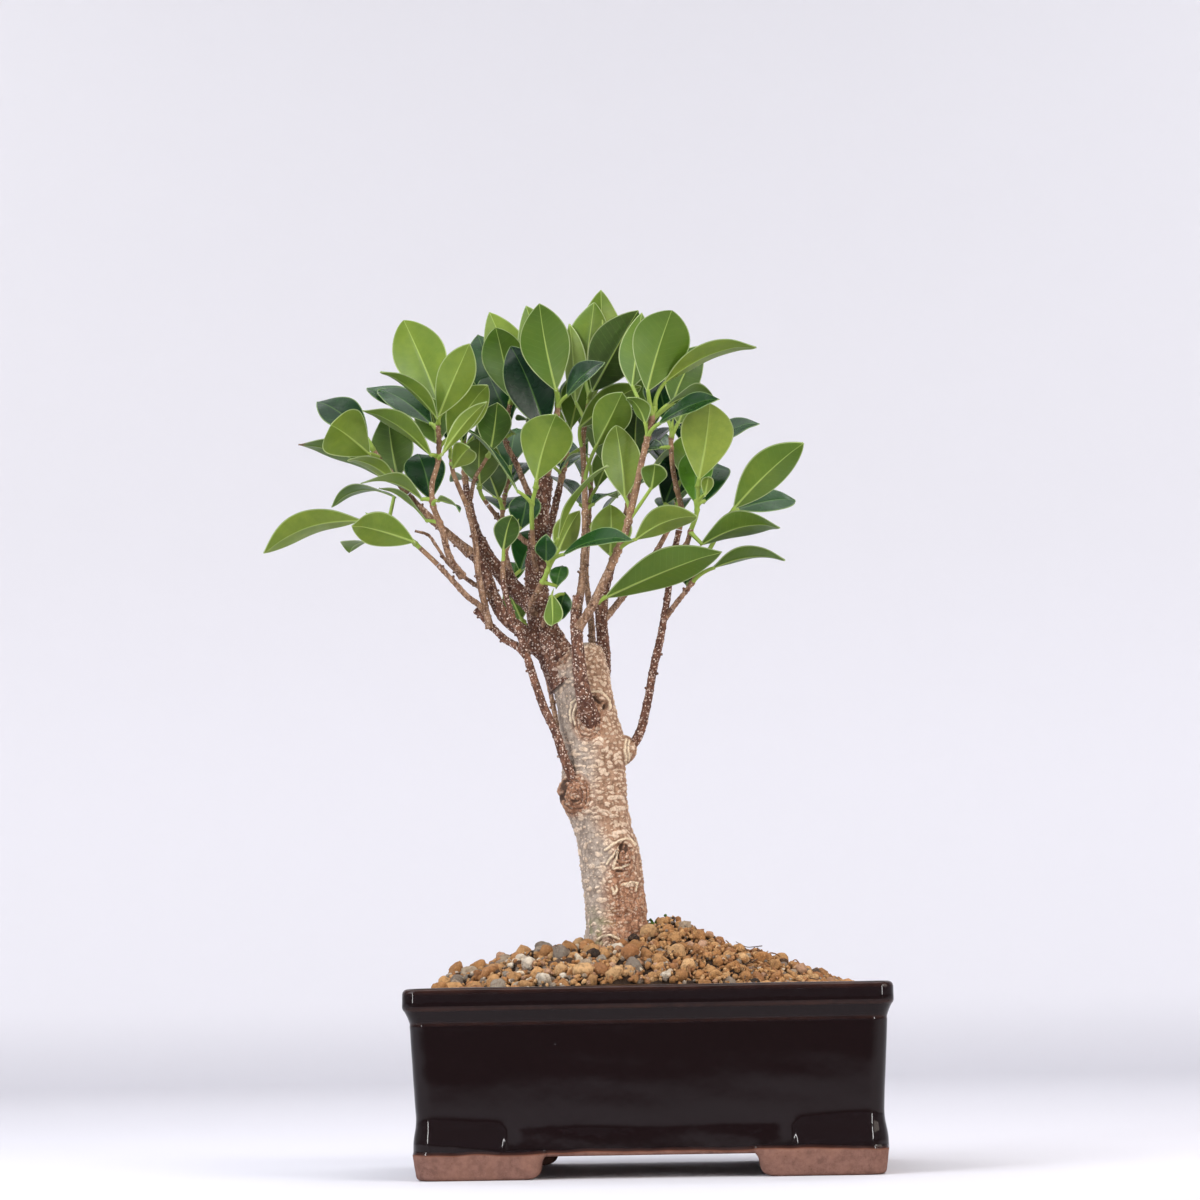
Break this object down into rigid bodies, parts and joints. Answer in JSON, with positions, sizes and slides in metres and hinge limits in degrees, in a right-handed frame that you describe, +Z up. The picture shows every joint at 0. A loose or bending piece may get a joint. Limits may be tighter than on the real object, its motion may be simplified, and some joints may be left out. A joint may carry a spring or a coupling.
{
  "type": "bonsai tree in a pot",
  "caption": "Small broad-leaved fig grown as a bonsai: leaning pale trunk, dark dotted limbs and leafy shoots in a mound of grain soil, in a dark glazed rectangular pot on bracket feet",
  "frame": {"origin": "under the middle of the whole plant's box, on the plane its pot's feet stand on", "axes": "+Z up, +X along the pot's long side to the right of the picture, +Y away from the viewer; -Z is the way the feet's resting faces point, and +Z the longest extent"},
  "size_m": [0.273, 0.1658, 0.4001],
  "materials": {
    "glaze": "glossy near-black brown glaze over reddish clay that shows bare at the feet",
    "soil_grains": "matt grains of baked ochre clay, grey pumice and cream and dark grit",
    "bark": "tan-grey bark with cream lenticels, darker and densely dotted on the limbs",
    "leaf": "thick waxy leaves, dark above and yellow-green below, with a pale midrib and margin",
    "mesh_plastic": "moulded black plastic mesh",
    "clip_wire": "soft bent wire"
  },
  "bodies": {
    "root": {"pot": "glaze", "drain_mesh_left": "mesh_plastic", "mesh_clip_left": "clip_wire", "drain_mesh_right": "mesh_plastic", "mesh_clip_right": "clip_wire", "soil": "soil_grains", "wood": "bark", "shoot_left_tip": "leaf", "shoot_left_upright": "leaf", "shoot_left_low": "leaf", "shoot_left_middle": "leaf", "shoot_left_inner": "leaf", "shoot_behind_leader": "leaf", "shoot_crown_left": "leaf", "shoot_crown_centre": "leaf", "shoot_front_fan": "leaf", "shoot_crown_right": "leaf", "shoot_front_right": "leaf", "shoot_front_low": "leaf", "shoot_tan_centre": "leaf", "shoot_left_spire": "leaf", "shoot_low_hanging": "leaf", "shoot_low_left_leaf": "leaf", "shoot_right_upright": "leaf", "shoot_right_fan": "leaf", "shoot_right_low": "leaf", "shoot_back_low": "leaf", "shoot_back_left": "leaf", "shoot_back_middle": "leaf", "shoot_back_right": "leaf", "shoot_back_far_right": "leaf", "shoot_back_far_middle": "leaf", "shoot_back_far_left": "leaf"}
  },
  "joints": []
}
